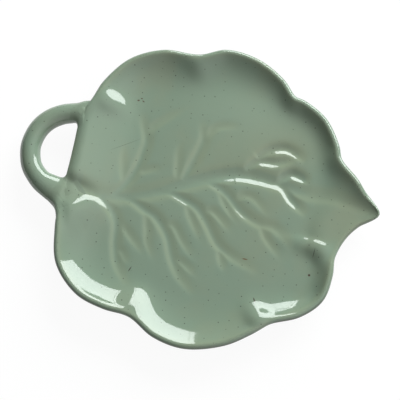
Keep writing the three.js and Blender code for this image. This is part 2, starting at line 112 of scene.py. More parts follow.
# The veins, in the same shares. Their strengths are spread evenly along each route from its start
midrib = [
    (0.045, 0.02), (0.07, -0.014), (0.1, -0.043), (0.144, -0.056), (0.197, -0.044), (0.283, -0.008),
    (0.369, 0.059), (0.454, 0.122), (0.498, 0.147), (0.55, 0.165), (0.603, 0.158), (0.684, 0.121),
    (0.746, 0.083), (0.797, 0.062), (0.864, 0.05), (0.98, -0.02),
]
midrib_depth = 0.0018
midrib_width = 0.0050
midrib_strengths = (0.25, 0.45, 0.5, 0.55, 0.7, 0.95, 1, 0.7, 0.35, 0.3, 0.15)
side_veins = [
    [(0.128, -0.077), (0.166, -0.157), (0.182, -0.222), (0.186, -0.362), (0.197, -0.482), (0.228, -0.602)],
    [(0.182, -0.049), (0.218, -0.057), (0.273, -0.127), (0.303, -0.162), (0.345, -0.281),
     (0.366, -0.417), (0.39, -0.521), (0.431, -0.616)],
    [(0.298, -0.001), (0.338, 0.01), (0.402, -0.046), (0.433, -0.085), (0.47, -0.189),
     (0.504, -0.309), (0.546, -0.375), (0.62, -0.45)],
    [(0.167, -0.031), (0.196, 0.036), (0.23, 0.156), (0.247, 0.279), (0.253, 0.344), (0.233, 0.503)],
    [(0.384, 0.112), (0.411, 0.243), (0.434, 0.378), (0.434, 0.426), (0.43, 0.477)],
]
side_vein_depth = 0.0010
side_vein_width = 0.0034
side_vein_strengths = (0.85, 1, 0.9, 0.8, 0.2)
# The side veins that catch the window, each with its depth
deep_veins = [
    (0.00092, [(0.399, 0.108), (0.434, 0.114), (0.488, 0.076), (0.522, 0.025), (0.576, -0.09),
               (0.637, -0.16), (0.672, -0.166), (0.727, -0.264), (0.746, -0.322)]),
    (0.0014, [(0.63, 0.146), (0.66, 0.135), (0.69, 0.113), (0.708, 0.075), (0.724, 0.026),
              (0.748, -0.021), (0.78, -0.08)]),
    (0.0014, [(0.582, 0.212), (0.61, 0.262), (0.635, 0.268), (0.66, 0.265), (0.69, 0.275), (0.74, 0.305)]),
    (0.0015, [(0.618, 0.3), (0.64, 0.336), (0.663, 0.358), (0.7, 0.364), (0.735, 0.332), (0.77, 0.29)]),
    (0.0019, [(0.68, 0.125), (0.698, 0.168), (0.722, 0.194), (0.75, 0.177), (0.785, 0.14)]),
]
deep_vein_strengths = (0.8, 1, 1, 0.7, 0)
branch_veins = [
    [(0.186, -0.203), (0.224, -0.283), (0.278, -0.408)],
    [(0.188, -0.374), (0.207, -0.407), (0.233, -0.488)],
    [(0.273, -0.127), (0.282, -0.236), (0.288, -0.339), (0.314, -0.438)],
    [(0.331, -0.228), (0.359, -0.208), (0.392, -0.297), (0.435, -0.412)],
    [(0.368, -0.429), (0.395, -0.442), (0.445, -0.518)],
    [(0.402, -0.046), (0.409, -0.116), (0.45, -0.282)],
    [(0.449, -0.122), (0.477, -0.093), (0.543, -0.211)],
    [(0.514, -0.332), (0.521, -0.421), (0.535, -0.479)],
    [(0.548, -0.03), (0.572, 0.024), (0.602, 0.02), (0.655, -0.086)],
    [(0.638, -0.163), (0.654, -0.24), (0.704, -0.365)],
    [(0.502, 0.036), (0.519, -0.036), (0.555, -0.141)],
    [(0.253, 0.344), (0.263, 0.43), (0.316, 0.523), (0.369, 0.594)],
    [(0.196, 0.036), (0.186, 0.123), (0.182, 0.249), (0.188, 0.308)],
    [(0.224, 0.129), (0.281, 0.161), (0.31, 0.175)],
    [(0.36, 0.058), (0.361, 0.184), (0.361, 0.311), (0.373, 0.365)],
    [(0.434, 0.378), (0.471, 0.474), (0.55, 0.502)],
]
branch_depth = 0.0006
branch_width = 0.0028
branch_strengths = (0.6, 1, 0.7, 0.1)
# How much steeper one side of a vein is than the other, and the way to that side
vein_lean = 0.3
vein_steep_way = (-0.8, -0.6)

# The folds that run in from the notches, each with its share of the full height
rim_folds = [
    (1, [(0.07, 0.62), (0.14, 0.57), (0.21, 0.51)]),
    (0.45, [(0.39, 0.95), (0.41, 0.8), (0.42, 0.68)]),
    (0.1, [(0.72, 0.71), (0.7, 0.62), (0.68, 0.55)]),
    (0.15, [(0.88, 0.31), (0.84, 0.28), (0.79, 0.24)]),
    (1, [(0.66, -0.82), (0.622, -0.69), (0.6, -0.57), (0.585, -0.45)]),
    (0.2, [(0.26, -0.83), (0.25, -0.75), (0.24, -0.67)]),
]
fold_height = 0.0034
fold_width = 0.0062
fold_strengths = (1, 0)

# Ridges beside the stem and beside the tip: height, width, strengths, lean and way of the steep side,
# route. They die out towards the rim
ridges = [
    (0.0016, 0.009, (1, 0.4), 0.6, (0.4, 0.9),
     [(0.035, -0.18), (0.052, -0.15), (0.08, -0.124), (0.112, -0.124), (0.135, -0.14), (0.152, -0.18)]),
    (0.0023, 0.0048, (0.7, 1, 0.4, 0.1, 0), 0.2, (0.2, 0.98),
     [(0.85, -0.31), (0.812, -0.283), (0.775, -0.262), (0.735, -0.247), (0.69, -0.233), (0.64, -0.22)]),
]
ridge_end_run = 0.006

# The lobe at the loop, as place and reach: gentle and a little higher, with its rim turned down
loop_lobe = ((0.03, 0.18), 0.050)
loop_lobe_rise = 0.0018
rim_turn_depth = 0.0025
rim_turn_run = 0.0045
rim_turn_narrowing = 1.65
rim_turn_reach = loop_lobe[1] / rim_turn_narrowing
# The tip, which is gentle and lower, and the lobe below the stem, which is higher, as shares of the rise
tip_spot = ((0.92, -0.16), 0.024)
tip_lowering = 0.7
high_lobe = ((0.08, -0.5), 0.055)
high_lobe_gain = 0.18
# An oval at the notch after that lobe, where the wall is gentle: its place, ways and half sizes
notch_spot = (0.260, -0.78)
notch_inwards = (0.31, 0.95)
notch_along = (0.95, -0.31)
notch_length = 0.012
notch_width = 0.0062
notch_gentleness = 0.8
# Where the wall is steeper: the place, how far that reaches and how much shorter the wall runs.
# It also loses a share of its rise for each metre that it is shorter
steep_spots = [
    ((0.76, 0.6), 0.075, 0.006), ((0.80, 0.62), 0.042, 0.010), ((0.86, -0.47), 0.030, 0.014),
    ((0.74, -0.73), 0.024, 0.006),
]
steep_lowering = 16

# The stem's mouth, where the rim drops: narrow, but wide beside the rim on the stem's lower side.
# That side's start is measured from the leaf's middle
stem_mouth = (0.0, -0.045)
mouth_drop = 0.0048
mouth_length = 0.020
mouth_width = 0.0092
low_mouth_width = 0.014
low_side_start = -0.0925
low_side_run = 0.006
# The stem's back as it runs into the dish: places from the leaf's middle, height of its top, half its width
stem_back = [
    (-0.1000, -0.0050, 0.01735, 0.0096), (-0.0962, -0.0058, 0.01720, 0.0093),
    (-0.0940, -0.0063, 0.01690, 0.0090), (-0.0910, -0.0070, 0.01610, 0.0080),
    (-0.0870, -0.0078, 0.01475, 0.0066), (-0.0830, -0.0084, 0.01340, 0.0056),
    (-0.0790, -0.0092, 0.01215, 0.0050), (-0.0750, -0.0105, 0.01080, 0.0045),
    (-0.0640, -0.0150, 0.00500, 0.0040),
]
# Its section is a flat round, wider on the upper side and beside the rim, that ends in straight sides
stem_flatness = 0.53
upper_side_spread = 1.7
low_side_gain = 0.6
round_side_end = 0.95
side_slope = 3
stem_blend = 0.004
# Keeps divisions clear of zero
tiny = 1e-9


def on_leaf(points, trim=0.0):
    """Places on the leaf, less a trim, from shares of its length and half width."""
    share = np.array(points, float).reshape(-1, 2)
    x = leaf_middle_x + (share[:, 0] - 0.5) * (leaf_length - trim)
    y = share[:, 1] * (leaf_width - trim) / 2
    return np.stack([x, y], axis=1)


def smooth_line(points, count, closed=False):
    """Evenly spaced points on a smooth line through the given ones."""
    points = np.asarray(points, float)
    steps_between = 60
    if closed:
        padded = np.concatenate([points[-1:], points, points[:2]])
    else:
        first = 2 * points[0] - points[1]
        last = 2 * points[-1] - points[-2]
        padded = np.concatenate([[first], points, [last]])
    dense = []
    for p0, p1, p2, p3 in zip(padded, padded[1:], padded[2:], padded[3:]):
        d0, d1, d2 = (math.sqrt(np.linalg.norm(b - a)) for a, b in ((p0, p1), (p1, p2), (p2, p3)))
        start = ((p1 - p0) / d0 - (p2 - p0) / (d0 + d1) + (p2 - p1) / d1) * d1
        end = ((p2 - p1) / d1 - (p3 - p1) / (d1 + d2) + (p3 - p2) / d2) * d1
        t = np.linspace(0, 1, steps_between, endpoint=False)[:, None]
        rise = 3 * t**2 - 2 * t**3
        dense.append(p1 + (p2 - p1) * rise + start * (t**3 - 2 * t**2 + t) + end * (t**3 - t**2))
    dense = np.concatenate(dense + [padded[-2:-1]])
    gone = np.concatenate([[0], np.cumsum(np.linalg.norm(np.diff(dense, axis=0), axis=1))])
    places = np.linspace(0, gone[-1], count + 1)
    line = np.stack([np.interp(places, gone, dense[:, k]) for k in range(dense.shape[1])], axis=1)
    return line[:-1] if closed else line


def rim_distance(place):
    """Distance from the rim, blended along it so that lobes and notches run smoothly together."""
    batch = 4000
    total = np.zeros(len(place))
    fence_square = (rim_fence**2).sum(axis=1) + rim_softness**2
    for part in range(0, len(place), batch):
        some = place[part:part + batch]
        square = (some**2).sum(axis=1)[:, None] + fence_square - 2 * some @ rim_fence.T
        total[part:part + batch] = (rim_fence_step / square**2).sum(axis=1)
    # Beside a straight rim the total is pi / 2 over the cube of the distance
    soft_square = (math.pi / 2 / total) ** (2 / 3)
    return np.sqrt(np.maximum(0, soft_square - rim_softness**2))


def crease(place, route, width, strengths, lean=0.0, steep_way=vein_steep_way):
    """Strength of a crease: as given along its route, and less to the sides, soonest on the steep one."""
    route_steps = 24
    line = smooth_line(on_leaf(route), route_steps)
    strength = np.zeros(len(place))
    margin = 4 * width
    near = ((place > line.min(axis=0) - margin) & (place < line.max(axis=0) + margin)).all(axis=1)
    point = place[near][:, None, :]
    start = line[:-1][None]
    run = np.diff(line, axis=0)[None]
    share = np.clip(((point - start) * run).sum(axis=2) / (run**2).sum(axis=2), 0, 1)
    offset = point - start - share[..., None] * run
    away = np.linalg.norm(offset, axis=2)
    closest = away.argmin(axis=1)
    rows = np.arange(len(closest))
    away, offset = away[rows, closest], offset[rows, closest]
    steep_side = offset @ np.array(steep_way) / np.maximum(away, tiny)
    gone = (closest + share[rows, closest]) / route_steps
    spread = width * (1 - lean * steep_side)
    along = np.interp(gone, np.linspace(0, 1, len(strengths)), strengths)
    strength[near] = along * np.exp(-(away / spread) ** 2)
    return strength


def blended(strengths, sharpness=5):
    """The strongest of several creases, run softly together."""
    return (sum(strength**sharpness for strength in strengths)) ** (1 / sharpness)


def nearness(place, centre, reach, power=4):
    """1 at a place on the leaf, falling to 0 about its reach away."""
    return np.exp(-(np.linalg.norm(place - on_leaf(centre), axis=1) / reach) ** power)


def gentleness(place):
    """0 where the wall is a full cove, 1 where it is gentle."""
    off_notch = place - on_leaf(notch_spot)
    from_notch = np.hypot(off_notch @ notch_along / notch_width, off_notch @ notch_inwards / notch_length)
    gentle = np.maximum(nearness(place, *loop_lobe), nearness(place, *tip_spot))
    return np.maximum(gentle, notch_gentleness * np.exp(-from_notch**2))


def low_side(place):
    """1 beside the rim on the stem's lower side, 0 further in and on its upper side."""
    inwards = place[:, 0] - leaf_middle_x
    below = place[:, 1] < on_leaf(stem_mouth)[0, 1]
    return np.clip((low_side_start - inwards) / low_side_run, 0, 1) * below


def mouth_share(place):
    """1 in the stem's mouth, 0 away from it."""
    off_mouth = place - on_leaf(stem_mouth)
    along = off_mouth[:, 0] / mouth_length
    narrow = np.exp(-(np.hypot(along, off_mouth[:, 1] / mouth_width) ** 4))
    wide = np.exp(-(along**4 + (off_mouth[:, 1] / low_mouth_width) ** 2))
    return narrow + (wide - narrow) * low_side(place)


def wall_height(place):
    """Height of the middle of the clay in floor and wall."""
    gentle = gentleness(place)
    shorter = sum(less * nearness(place, centre, reach) for centre, reach, less in steep_spots)
    shorter *= 1 - gentle
    run = cove_run + (gentle_run - cove_run) * gentle - shorter
    power = cove_power + (gentle_power - cove_power) * gentle
    distance = rim_distance(place)
    cove = np.maximum(0, 1 - distance / run) ** power
    gain = high_lobe_gain * nearness(place, *high_lobe)
    loss = tip_lowering * nearness(place, *tip_spot) + steep_lowering * shorter
    rise = rim_rise * (1 + gain - loss)
    rise += loop_lobe_rise * nearness(place, *loop_lobe) - mouth_drop * mouth_share(place)
    folds = [share * crease(place, route, fold_width, fold_strengths) for share, route in rim_folds]
    fold = fold_height * blended(folds) * 4 * cove * (1 - cove)
    ridge = sum(
        height * crease(place, route, width, strengths, lean, steep_way)
        for height, width, strengths, lean, steep_way, route in ridges
    )
    off_rim = 1 - np.exp(-(distance / ridge_end_run) ** 2)
    turned = nearness(place, loop_lobe[0], rim_turn_reach, power=6)
    turned *= np.maximum(0, 1 - distance / rim_turn_run) ** 2
    return floor_height + rise * cove + fold + ridge * off_rim - rim_turn_depth * turned


def stem_height(place):
    """Height of the middle of the clay under the stem's back."""
    back_steps = 80
    back = smooth_line(stem_back, back_steps)
    inwards = place[:, 0] - leaf_middle_x
    line_y, top, half_width = (np.interp(inwards, back[:, 0], back[:, k]) for k in (1, 2, 3))
    aside = place[:, 1] - line_y
    spread = np.where(aside > 0, upper_side_spread, 1 + low_side_gain * low_side(place))
    bend = abs(aside) / (spread * half_width)
    round_side = 1 - np.sqrt(1 - np.minimum(bend, round_side_end) ** 2)
    round_side += side_slope * np.maximum(0, bend - round_side_end)
    return top - clay_wall / 2 - stem_flatness * half_width * round_side


def clay_height(place):
    """Height of the middle of the clay, with the stem run softly into the wall."""
    wall = wall_height(place)
    stem = stem_height(place)
    blend = np.maximum(0, 1 - abs(wall - stem) / stem_blend)
    return np.maximum(wall, stem) + blend**2 * stem_blend / 4


def vein_depth(place):
    """How far the face is sunk by the veins."""
    kinds = [(midrib_depth, midrib_width, midrib_strengths, midrib)]
    kinds += [(side_vein_depth, side_vein_width, side_vein_strengths, route) for route in side_veins]
    kinds += [(depth, side_vein_width, deep_vein_strengths, route) for depth, route in deep_veins]
    kinds += [(branch_depth, branch_width, branch_strengths, route) for route in branch_veins]
    return blended([
        depth * crease(place, route, width, strengths, vein_lean)
        for depth, width, strengths, route in kinds
    ])


# The ball's points: spokes, rings on the face and on the lip, and every third face ring again below
spokes = 400
top_rings = 112
lip_rings = 16
under_step = 3
rim_line = smooth_line(on_leaf(rim_points, 2 * half_lip), spokes, closed=True)
rim_fence = smooth_line(on_leaf(rim_points, 2 * half_lip), 2 * spokes, closed=True)
rim_fence_step = np.linalg.norm(rim_fence[1] - rim_fence[0])
middle = on_leaf(leaf_middle)[0]

ring_share = np.arange(1, top_rings + 1) / top_rings
plan = middle + ring_share[:, None, None] * (rim_line - middle)[None]
flat_plan = plan.reshape(-1, 2)
wall = np.concatenate([plan, clay_height(flat_plan).reshape(top_rings, spokes, 1)], axis=2)
along_rim = np.roll(wall, -1, axis=1) - np.roll(wall, 1, axis=1)
outwards = np.gradient(wall, axis=0)
normal = np.cross(outwards, along_rim)
normal /= np.linalg.norm(normal, axis=2, keepdims=True)
veins = vein_depth(flat_plan).reshape(top_rings, spokes, 1)

from_rim = ((1 - ring_share)[:, None] * np.linalg.norm(rim_line - middle, axis=1))[..., None]
from_tip = np.linalg.norm(rim_line - rim_line[0], axis=1)
spoke_half_lip = half_lip * (1 - tip_thinning * np.exp(-(from_tip / tip_thinning_reach) ** 2))[:, None]
thinned = np.clip(from_rim / thinning_run, 0, 1) ** thinning_power
half_wall = spoke_half_lip + (clay_wall / 2 - spoke_half_lip) * thinned
face = wall + normal * (clay_wall / 2 - veins)
edge_normal = normal[-1]
edge = wall[-1] + edge_normal * (clay_wall / 2 - spoke_half_lip)
edge_out = np.cross(along_rim[-1], edge_normal)
edge_out /= np.linalg.norm(edge_out, axis=1, keepdims=True)
lip_angle = np.pi / 2 - np.pi * np.arange(1, lip_rings + 1) / (lip_rings + 1)
lip = edge + spoke_half_lip * (
    np.cos(lip_angle)[:, None, None] * edge_out + np.sin(lip_angle)[:, None, None] * edge_normal
)
under = (wall + normal * (clay_wall / 2 - 2 * half_wall))[::-under_step]
rings = np.concatenate([face, lip, under])
middle_height = clay_height(middle[None])[0]
face_middle = middle_height + clay_wall / 2 - vein_depth(middle[None])[0]
under_middle = middle_height - clay_wall / 2

edge_parts = 4
bpy.ops.mesh.primitive_uv_sphere_add(segments=spokes // edge_parts, ring_count=len(rings) + 1, radius=1)
leaf = bpy.context.object
leaf.name = "leaf_dish"


def points_of(piece):
    """The places of a piece's points, one row each."""
    place = np.empty(3 * len(piece.data.vertices))
    piece.data.vertices.foreach_get("co", place)
    return place.reshape(-1, 3)


def move_points(piece, place):
    """Put a piece's points at new places."""
    piece.data.vertices.foreach_set("co", np.ascontiguousarray(place, float).ravel())
    piece.data.update()


def set_thinness_and_shade(piece, values):
    """How thin the glaze lies at each point, 1 at its thinnest; below 0 it holds painted shade, darkest at
    -1.
    """
    layer = piece.data.attributes.new("glaze_thinness_and_shade", "FLOAT", "POINT")
    layer.data.foreach_set("value", values)


# Each ring's edges are cut in equal parts, so that the ball has a point on every spoke
same_height = 1e-5
bpy.ops.object.mode_set(mode="EDIT")
bpy.ops.mesh.select_all(action="DESELECT")
bpy.context.tool_settings.mesh_select_mode = (False, True, False)
bpy.ops.object.mode_set(mode="OBJECT")
ends = np.empty(2 * len(leaf.data.edges), int)
leaf.data.edges.foreach_get("vertices", ends)
end_heights = points_of(leaf)[ends, 2].reshape(-1, 2)
leaf.data.edges.foreach_set("select", abs(end_heights[:, 0] - end_heights[:, 1]) < same_height)
bpy.ops.object.mode_set(mode="EDIT")
bpy.ops.mesh.subdivide(number_cuts=edge_parts - 1)
bpy.ops.object.mode_set(mode="OBJECT")

ball = points_of(leaf)
ring_of = np.rint(np.arccos(np.clip(ball[:, 2], -1, 1)) / np.pi * (len(rings) + 1)).astype(int)
spoke_of = np.rint(np.arctan2(ball[:, 1], ball[:, 0]) / (2 * np.pi) * spokes).astype(int) % spokes
nearest_ring = np.clip(ring_of - 1, 0, len(rings) - 1)
shaped = rings[nearest_ring, spoke_of]
shaped[ring_of == 0] = (*middle, face_middle)
shaped[ring_of == len(rings) + 1] = (*middle, under_middle)
move_points(leaf, shaped)
bpy.ops.object.shade_smooth()

# The glaze runs off the shoulders of the veins and off the lip's top, and lies lighter there. The lip's
# outer side, where that faces the front, away from the window, and the underside below it are darkened as
# painted shade. The glaze is even where the handle joins the rim
shoulder_depth = 0.0009
lip_top_run = 0.0015
lip_thinnest = 0.7
lip_change = 1.7
lip_shade_shift = 0.75
joint_spots = ((0.0, -0.054), (0.02, 0.516))
joint_reach = 0.018
joint_band = 0.008
lit_way = (0.5, 0.85)
under_shade_depth = 0.3
below_lip_shade_depth = 0.7
below_lip_run = 0.008
shoulder = np.clip(veins[..., 0] / shoulder_depth, 0, 1)
thin_face = np.maximum(4 * shoulder * (1 - shoulder), np.exp(-from_rim[..., 0] / lip_top_run))
from_joints = np.minimum(*(np.linalg.norm(rim_line - on_leaf(joint), axis=1) for joint in joint_spots))
off_joints = 1 - np.exp(-(from_joints / joint_reach) ** 4)
thin_face = thin_face * np.where(from_rim[..., 0] < joint_band, off_joints, 1)
lip_thin_and_shade = np.clip(np.sin(lip_angle) * lip_change - lip_shade_shift, -1, lip_thinnest)[:, None]
# The painted shade on the lip is kept to the side that faces away from the window
front = np.clip(0.5 - edge_out[:, :2] @ lit_way, 0, 1)
lip_thin_and_shade = np.where(lip_thin_and_shade > 0, lip_thin_and_shade * off_joints, lip_thin_and_shade * front)
# Painted shade under the dish, darkest just below the lip
under_shade = -under_shade_depth - below_lip_shade_depth * np.exp(-from_rim[::-under_step, :, 0] / below_lip_run)
ring_thin_and_shade = np.concatenate([thin_face, lip_thin_and_shade, under_shade])
set_thinness_and_shade(leaf, ring_thin_and_shade[nearest_ring, spoke_of])

# Celadon glaze: a glossy grey-green that turns bluish where it lies thick and straw-coloured where it
# is thin or over-fired, with a few iron specks and kiln marks, painted light on two lobes and painted shade
# on the lip's outer side and the undersides. It covers all pieces but the foot.
celadon = (0.233, 0.309, 0.229, 1)
straw = (0.275, 0.305, 0.205, 1)
# Painted light: a paler green that lightens two lobes
painted_light_green = (0.280, 0.360, 0.270, 1)
thick_blue = (0.195, 0.300, 0.228, 1)
thin_straw = (0.300, 0.345, 0.225, 1)
# Painted shade: dark olive for the lip's outer side, the underside and the rod's underside
painted_shade_olive = (0.085, 0.105, 0.070, 1)
iron = (0.050, 0.055, 0.040, 1)
rust = (0.09, 0.05, 0.03, 1)
glaze = bpy.data.materials.new("celadon_glaze")
glaze.use_nodes = True
glaze_nodes, glaze_links = glaze.node_tree.nodes, glaze.node_tree.links
shader = glaze_nodes["Principled BSDF"]
shader.inputs["Roughness"].default_value = 0.07
shader.inputs["IOR"].default_value = 1.6
place_on_dish = glaze_nodes.new("ShaderNodeTexCoord").outputs["Object"]


def tinted(colour, amount, tint, strength):
    """The colour, with a tint laid over it by an amount."""
    layer = glaze_nodes.new("ShaderNodeMix")
    layer.data_type = "RGBA"
    times = glaze_nodes.new("ShaderNodeMath")
    times.operation = "MULTIPLY"
    times.inputs[1].default_value = strength
    glaze_links.new(amount, times.inputs[0])
    glaze_links.new(times.outputs[0], layer.inputs["Factor"])
    if isinstance(colour, tuple):
        layer.inputs[6].default_value = colour
    else:
        glaze_links.new(colour, layer.inputs[6])
    layer.inputs[7].default_value = tint
    return layer.outputs[2]


def between(value, low, high):
    """0 at the low value, 1 at the high one, with soft ends."""
    ramp = glaze_nodes.new("ShaderNodeMapRange")
    ramp.interpolation_type = "SMOOTHSTEP"
    ramp.inputs["From Min"].default_value = low
    ramp.inputs["From Max"].default_value = high
    glaze_links.new(value, ramp.inputs["Value"])
    return ramp.outputs["Result"]


def cloud(size, detail):
    """Soft patches of a size."""
    noise = glaze_nodes.new("ShaderNodeTexNoise")
    noise.inputs["Scale"].default_value = 1 / size
    noise.inputs["Detail"].default_value = detail
    glaze_links.new(place_on_dish, noise.inputs["Vector"])
    return noise.outputs["Fac"]


def spot(x, y, half_length, half_width, turn=0.0, softness=0.5):
    """1 within an oval on the dish, seen from above."""
    oval = glaze_nodes.new("ShaderNodeMapping")
    oval.vector_type = "TEXTURE"
    oval.inputs["Location"].default_value = (x, y, 0)
    oval.inputs["Rotation"].default_value = (0, 0, math.radians(turn))
    oval.inputs["Scale"].default_value = (half_length, half_width, 1)
    glaze_links.new(place_on_dish, oval.inputs["Vector"])
    reach = glaze_nodes.new("ShaderNodeVectorMath")
    reach.operation = "LENGTH"
    glaze_links.new(oval.outputs["Vector"], reach.inputs[0])
    return between(reach.outputs["Value"], 1 + softness, 1 - softness)


tone = tinted(celadon, between(cloud(size=0.055, detail=2), low=0.4, high=0.7), thick_blue, strength=0.2)
tone = tinted(tone, between(cloud(size=0.030, detail=3), low=0.45, high=0.75), straw, strength=0.35)
# Fixed patches of glaze tone. The pale green ones are painted light on the lobe by the loop and on a lobe
# at the top
for x, y, half_length, half_width, tint, strength in (
    (0.047, 0.037, 0.024, 0.016, straw, 0.55),
    (0.094, -0.010, 0.020, 0.012, straw, 0.4),
    (-0.038, -0.068, 0.012, 0.008, straw, 0.4),
    (-0.076, 0.016, 0.020, 0.030, painted_light_green, 0.6),
    (0.035, 0.060, 0.032, 0.020, painted_light_green, 0.6),
    (-0.050, -0.052, 0.026, 0.020, thick_blue, 0.2),
    (-0.005, -0.062, 0.036, 0.022, thick_blue, 0.2),
):
    tone = tinted(tone, spot(x, y, half_length, half_width, softness=0.9), tint, strength)
thin = glaze_nodes.new("ShaderNodeAttribute")
thin.attribute_name = "glaze_thinness_and_shade"
tone = tinted(tone, between(thin.outputs["Fac"], low=0, high=1), thin_straw, strength=0.3)
# Painted shade: dark olive where the thinness value is below 0
tone = tinted(tone, between(thin.outputs["Fac"], low=0, high=-1), painted_shade_olive, strength=0.8)

# Iron specks: one in each cell, of a size by chance, up to a share of the cell
specks_per_metre = 150
largest_speck = 0.075
speck_softness = 0.03
specks = glaze_nodes.new("ShaderNodeTexVoronoi")
specks.voronoi_dimensions = "2D"
specks.inputs["Scale"].default_value = specks_per_metre
glaze_links.new(place_on_dish, specks.inputs["Vector"])
chance = glaze_nodes.new("ShaderNodeSeparateColor")
glaze_links.new(specks.outputs["Color"], chance.inputs["Color"])
speck_size = glaze_nodes.new("ShaderNodeMath")
speck_size.operation = "MULTIPLY"
glaze_links.new(chance.outputs["Red"], speck_size.inputs[0])
speck_size.inputs[1].default_value = largest_speck
inside = glaze_nodes.new("ShaderNodeMath")
inside.operation = "SUBTRACT"
glaze_links.new(speck_size.outputs[0], inside.inputs[0])
glaze_links.new(specks.outputs["Distance"], inside.inputs[1])
tone = tinted(tone, between(inside.outputs[0], low=0, high=speck_softness), iron, strength=0.75)

# Kiln marks and a hairline: place, half length, half width, turn in degrees, colour
for x, y, half_length, half_width, turn, mark in (
    (0.0335, -0.0380, 0.0016, 0.0004, -8, (0.16, 0.09, 0.04, 1)),
    (0.0410, -0.0635, 0.0016, 0.0004, -70, (0.05, 0.03, 0.02, 1)),
    (-0.0375, -0.0500, 0.0017, 0.0003, 60, (0.05, 0.04, 0.03, 1)),
    (0.0740, -0.0450, 0.0007, 0.0007, 0, (0.06, 0.01, 0.01, 1)),
    (0.0760, -0.0310, 0.0026, 0.0002, 80, (0.07, 0.08, 0.06, 1)),
    (-0.0427, 0.0607, 0.0008, 0.0005, 20, rust),
    (-0.0407, 0.0622, 0.0006, 0.0004, 0, rust),
    (-0.0395, 0.0604, 0.0008, 0.0004, -30, rust),
    (-0.0480, 0.0300, 0.0095, 0.0001, 29, (0.11, 0.14, 0.10, 1)),
):
    tone = tinted(tone, spot(x, y, half_length, half_width, turn), mark, strength=0.9)
glaze_links.new(tone, shader.inputs["Base Color"])

ripple = glaze_nodes.new("ShaderNodeBump")
ripple.inputs["Strength"].default_value = 0.35
ripple.inputs["Distance"].default_value = 0.0001
glaze_links.new(cloud(size=0.006, detail=2), ripple.inputs["Height"])
glaze_links.new(ripple.outputs["Normal"], shader.inputs["Normal"])

leaf.data.materials.append(glaze)
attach(leaf, "root")
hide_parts("leaf_body")

# The stem handle: a rolled rod of the same clay, bent into a loop and luted to the rim at both ends.
# A sphere is drawn out along the loop's line. Its upper end lies in the leaf's wall, and its lower one
# is pressed wide and flat, as a leaf's stem is, and sinks into the dish where the midrib begins.
handle_radius = 0.0066
handle_height = 0.0124
handle_reach = 0.0267
handle_steps = 400
end_taper = 0.006
upper_joint = on_leaf((0.02, 0.516), clay_wall)[0]
lower_joint = on_leaf((-0.004, -0.054), clay_wall)[0]
# The loop from the upper joint to the lower one: shares of its reach and of the way between the joints
handle_loop = np.array([
    (0, 0), (0.2, 0.017), (0.4, 0.04), (0.64, 0.1), (0.82, 0.185), (0.935, 0.29), (1, 0.45),
    (0.965, 0.58), (0.88, 0.7), (0.75, 0.79), (0.56, 0.88), (0.35, 0.935), (0.18, 0.972), (0, 1),
])
loop_plan = upper_joint + handle_loop[:, 1:] * (lower_joint - upper_joint)
loop_plan[:, 0] -= handle_reach * handle_loop[:, 0]
loop_line = np.concatenate([loop_plan, np.full((len(loop_plan), 1), handle_height)], axis=1)
upper_root = loop_line[0] + [[0.008, 0.001, 0.0025]]
lower_root = loop_line[-1] + [[0.0045, -0.0012, -0.0005], [0.011, -0.0026, -0.0038]]
handle_line = smooth_line(np.concatenate([upper_root, loop_line, lower_root]), handle_steps)
handle_way = np.gradient(handle_line, axis=0)
handle_gone = np.concatenate([[0], np.cumsum(np.linalg.norm(np.diff(handle_line, axis=0), axis=1))])
from_end = np.minimum(handle_gone, handle_gone[-1] - handle_gone) / end_taper
taper = np.sqrt(1 - np.maximum(0, 1 - from_end) ** 2)
# The stem's sections: the way past the lower joint, half the width and half the height
stem_sections = smooth_line([
    (-0.140, handle_radius, handle_radius), (-0.028, handle_radius, handle_radius),
    (-0.017, 0.0070, 0.0064), (-0.008, 0.0083, 0.0056), (0, 0.0096, 0.0050),
    (0.0045, 0.0088, 0.0048), (0.014, 0.0055, 0.0036),
], handle_steps)
past_joint = handle_gone - handle_gone[np.linalg.norm(handle_line - loop_line[-1], axis=1).argmin()]
rod_half_width = taper * np.interp(past_joint, stem_sections[:, 0], stem_sections[:, 1])
rod_half_height = taper * np.interp(past_joint, stem_sections[:, 0], stem_sections[:, 2])


def rod_axes(way):
    """Unit vectors along the rod, to its side and up from it."""
    tangent = way / np.linalg.norm(way, axis=1, keepdims=True)
    aside = np.cross(tangent, [0, 0, 1])
    aside /= np.linalg.norm(aside, axis=1, keepdims=True)
    return tangent, aside, np.cross(aside, tangent)


rod_sides = 64
rod_rings = 240
bpy.ops.mesh.primitive_uv_sphere_add(segments=rod_sides, ring_count=rod_rings, radius=1)
handle = bpy.context.object
handle.name = "stem_handle_loop"
ball = points_of(handle)
along = handle_steps * np.arccos(np.clip(ball[:, 2], -1, 1)) / np.pi
before = np.clip(along.astype(int), 0, handle_steps - 1)
rest = (along - before)[:, None]
centre = handle_line[before] * (1 - rest) + handle_line[before + 1] * rest
_, aside, above = rod_axes(handle_way[before] * (1 - rest) + handle_way[before + 1] * rest)
wide = np.interp(along, np.arange(handle_steps + 1), rod_half_width)[:, None]
high = np.interp(along, np.arange(handle_steps + 1), rod_half_height)[:, None]
turn = np.arctan2(ball[:, 1], ball[:, 0])[:, None]
move_points(handle, centre + np.cos(turn) * wide * aside - np.sin(turn) * high * above)
bpy.ops.object.shade_smooth()
# Painted shade: the rod's underside is darkened
rod_shade_depth = 0.6
rod_change = 1.4
set_thinness_and_shade(handle, np.clip(rod_change * np.sin(turn[:, 0]), 0, 1) * -rod_shade_depth)
handle.data.materials.append(glaze)
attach(handle, "root")
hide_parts("stem_handle")

# The luting coils: soft clay worked into the two joints, so that rod and leaf run into each other.
# Each is a ring round the rod, pressed on to the hollow between the rod's and the leaf's skin.
coil_sides = 96
coil_faces = 32
crease_angle = math.radians(50)
opening_width = 0.014
leaf_base_length = 0.06
